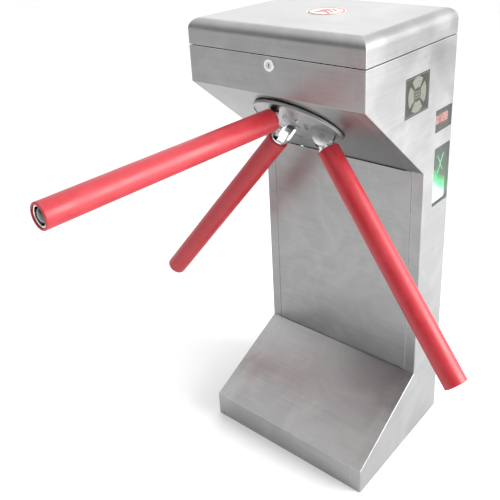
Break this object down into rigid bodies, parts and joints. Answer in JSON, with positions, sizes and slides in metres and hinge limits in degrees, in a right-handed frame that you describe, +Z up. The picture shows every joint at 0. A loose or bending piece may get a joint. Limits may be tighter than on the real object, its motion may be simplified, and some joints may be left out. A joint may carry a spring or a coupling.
{
  "type": "tripod turnstile",
  "caption": "Free-standing tripod turnstile: folded stainless cabinet, slanted underside with a rotating hub and three rubber-sleeved arms, hinged lid, reader, counter and lane indicator windows.",
  "frame": {"origin": "centre of the cabinet's footprint and of its floor anchors, on the floor", "axes": "+Z up, -Y towards the arms' side, +X towards the side with the reader"},
  "size_m": [0.8148, 0.8536, 1.0008],
  "materials": {
    "stainless_brushed": "horizontal brushed grain, folded sheet",
    "stainless_bright": "polished, with fine machining marks",
    "zinc_plate": "zinc plated pressed steel, hidden behind the panels",
    "sleeve_red": "satin soft rubber sleeve",
    "window_dark": "smoked acrylic",
    "badge_red": "printed disc under clear resin",
    "board_green": "printed circuit board with solder mask",
    "black_plastic": "moulded plastic",
    "black_rubber": "moulded rubber",
    "bright_steel": "turned and ground steel",
    "cast_housing": "cast and machined aluminium",
    "solenoid_coat": "plated frame and taped coil"
  },
  "bodies": {
    "cabinet": {"side_panel_left": "stainless_brushed", "side_panel_right": "stainless_brushed", "back_panel": "stainless_brushed", "fascia_panel": "stainless_brushed", "hub_panel": "stainless_brushed", "service_panel": "stainless_brushed", "foot_panel": "stainless_brushed", "base_plate": "zinc_plate", "front_rails": "zinc_plate", "back_panel_screws": "stainless_bright", "cable_grommet": "black_rubber", "hinge_body_leaves": "stainless_bright", "hinge_pins": "bright_steel", "lock_body": "stainless_bright", "reader_window": "window_dark", "counter_window": "window_dark", "indicator_windows": "window_dark", "reader_module": "black_plastic", "counter_board": "board_green", "indicator_boards": "board_green", "damper_body": "cast_housing", "mech_plate": "zinc_plate", "mech_brackets": "zinc_plate", "mech_plate_bolts": "bright_steel", "bearing_housing": "cast_housing", "shaft_bearings": "bright_steel", "lever_spring": "bright_steel", "solenoids": "solenoid_coat", "optical_sensors": "black_plastic", "board_tray": "zinc_plate", "control_board": "board_green", "power_supply": "cast_housing"},
    "lid": {"lid": "stainless_brushed", "lid_badge": "badge_red", "lid_catch": "zinc_plate", "hinge_lid_leaves": "stainless_bright"},
    "lock": {"lock_barrel": "bright_steel", "lock_cam": "zinc_plate"},
    "hub": {"main_shaft": "bright_steel", "hub_disc": "stainless_brushed", "hub_lugs": "stainless_bright", "hub_screws": "bright_steel", "arm_pivots": "bright_steel", "index_cam": "bright_steel", "lock_wheel": "bright_steel", "damper_gear": "bright_steel", "arm_2_tube": "stainless_bright", "arm_2_sleeve": "sleeve_red", "arm_2_cap": "stainless_bright", "arm_3_tube": "stainless_bright", "arm_3_sleeve": "sleeve_red", "arm_3_cap": "stainless_bright"},
    "arm_1": {"arm_1_tube": "stainless_bright", "arm_1_sleeve": "sleeve_red", "arm_1_cap": "stainless_bright"},
    "damper_pinion": {"damper_pinion": "bright_steel"},
    "roller_lever": {"roller_lever": "zinc_plate"},
    "cam_roller": {"cam_roller": "bright_steel"},
    "lock_bolt_left": {"lock_bolt_left": "bright_steel"},
    "lock_bolt_right": {"lock_bolt_right": "bright_steel"}
  },
  "joints": [
    {"name": "hub_turn", "type": "hinge", "parent": "cabinet", "child": "hub", "pos_m": [0, -0.08813, 0.79711], "axis": [0, -0.6428, -0.766], "continuous": true},
    {"name": "damper_spin", "type": "hinge", "parent": "cabinet", "child": "damper_pinion", "pos_m": [-0.0803, -0.08813, 0.79711], "axis": [0, -0.6428, -0.766], "continuous": true},
    {"name": "arm_1_drop", "type": "hinge", "parent": "hub", "child": "arm_1", "pos_m": [-0.00455, -0.14477, 0.81957], "axis": [0.9969, -0.0601, 0.0504], "range_deg": [0, 90]},
    {"name": "lid_hinge", "type": "hinge", "parent": "cabinet", "child": "lid", "pos_m": [0, 0.1795, 0.947], "axis": [-1, 0, 0], "range_deg": [0, 85]},
    {"name": "lock_turn", "type": "hinge", "parent": "cabinet", "child": "lock", "pos_m": [0, -0.175, 0.929], "axis": [0, 1, 0], "range_deg": [0, 90]},
    {"name": "roller_lever_swing", "type": "hinge", "parent": "cabinet", "child": "roller_lever", "pos_m": [0.07, -0.06082, 0.923], "axis": [0, -0.6428, -0.766], "range_deg": [0, 6], "stiffness_Nm_per_rad": 4, "springref_deg": -8.59, "deforming": ["lever_spring"]},
    {"name": "cam_roller_spin", "type": "hinge", "parent": "roller_lever", "child": "cam_roller", "pos_m": [0.0574, -0.02, 0.87831], "axis": [0, -0.6428, -0.766], "continuous": true},
    {"name": "lock_bolt_left_slide", "type": "slide", "parent": "cabinet", "child": "lock_bolt_left", "axis": [0.5, -0.6634, 0.5567], "range_m": [0, 0.008], "stiffness_N_per_m": 300, "springref_m": -0.004},
    {"name": "lock_bolt_right_slide", "type": "slide", "parent": "cabinet", "child": "lock_bolt_right", "axis": [-0.5, -0.6634, 0.5567], "range_m": [0, 0.008], "stiffness_N_per_m": 300, "springref_m": -0.004}
  ],
  "couplings": [
    {"joint": "damper_spin", "follows": "hub_turn", "ratio": -3}
  ]
}
